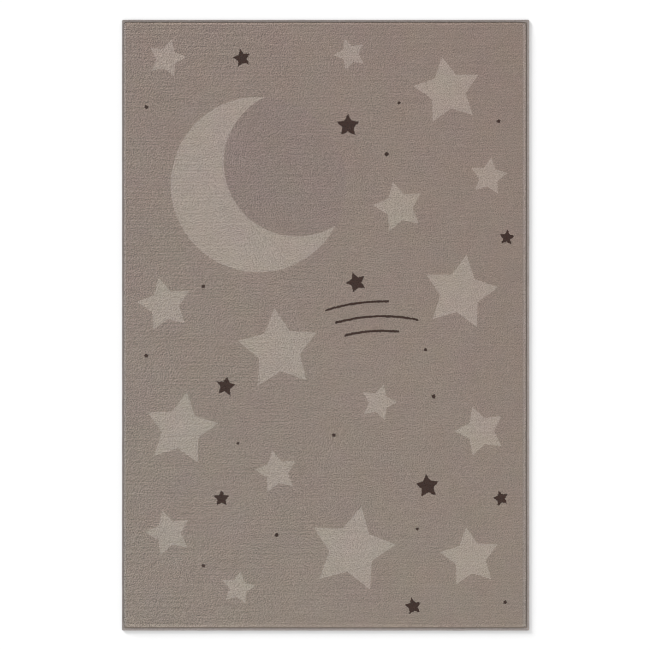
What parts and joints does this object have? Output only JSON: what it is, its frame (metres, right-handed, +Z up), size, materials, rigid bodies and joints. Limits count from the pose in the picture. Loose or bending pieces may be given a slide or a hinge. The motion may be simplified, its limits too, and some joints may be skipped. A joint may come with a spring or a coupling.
{
  "type": "nursery rug",
  "caption": "Rectangular low-pile woven rug with an overlocked yarn edge, lying flat, for the floor of a child's room.",
  "frame": {"origin": "on the floor, under the middle of the rug", "axes": "+X across the rug, +Y along it, +Z up from the floor to the pile"},
  "size_m": [1, 1.5, 0.01],
  "materials": {
    "pile": "short dense matt cut pile in a warm grey-brown, with plain stars and a crescent moon in pale and dark brown yarn",
    "edging_yarn": "matt twisted yarn, wrapped closely over the edge, in a slightly greyer brown than the pile"
  },
  "bodies": {
    "root": {"rug_panel": "pile", "edging": "edging_yarn"}
  },
  "joints": []
}
